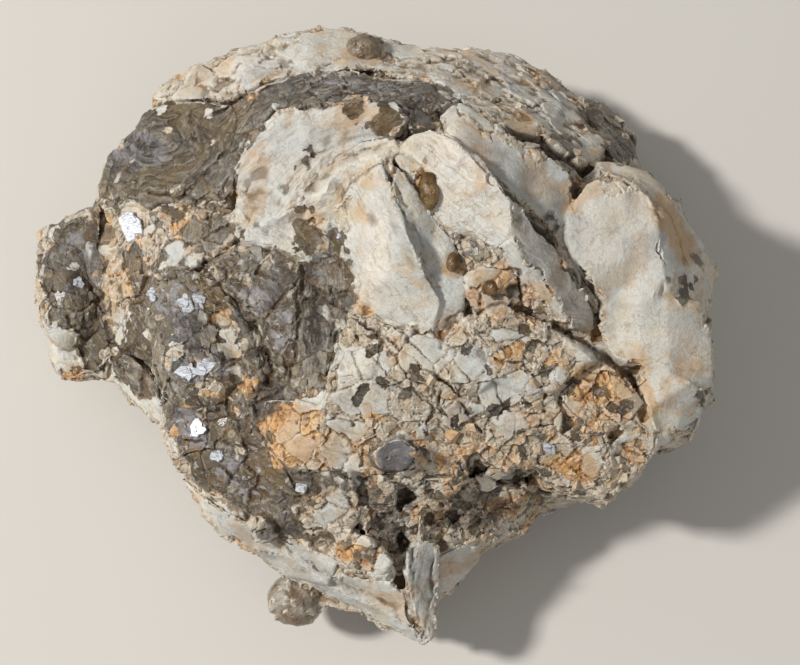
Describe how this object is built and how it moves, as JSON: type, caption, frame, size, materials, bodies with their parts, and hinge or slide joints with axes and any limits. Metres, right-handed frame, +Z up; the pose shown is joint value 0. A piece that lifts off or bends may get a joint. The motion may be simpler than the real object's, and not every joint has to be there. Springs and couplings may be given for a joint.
{
  "type": "mica in pegmatite specimen",
  "caption": "Rough hand specimen of mica-bearing pegmatite: brown mica masses and pale cleaved feldspar slabs grown into one lump, cleaved flat below to rest on a table.",
  "frame": {"origin": "centre of the lump's outline, on the flat face that it rests on", "axes": "+X along the longest side, +Y to the back of the lump, +Z up from the table"},
  "size_m": [0.1644, 0.1516, 0.0853],
  "materials": {
    "pegmatite": "rough broken stone: dull white and cream feldspar with pearly cleavage, rusty granular parts, and glossy grey-brown mica"
  },
  "bodies": {
    "root": {"mica_specimen": "pegmatite"}
  },
  "joints": []
}
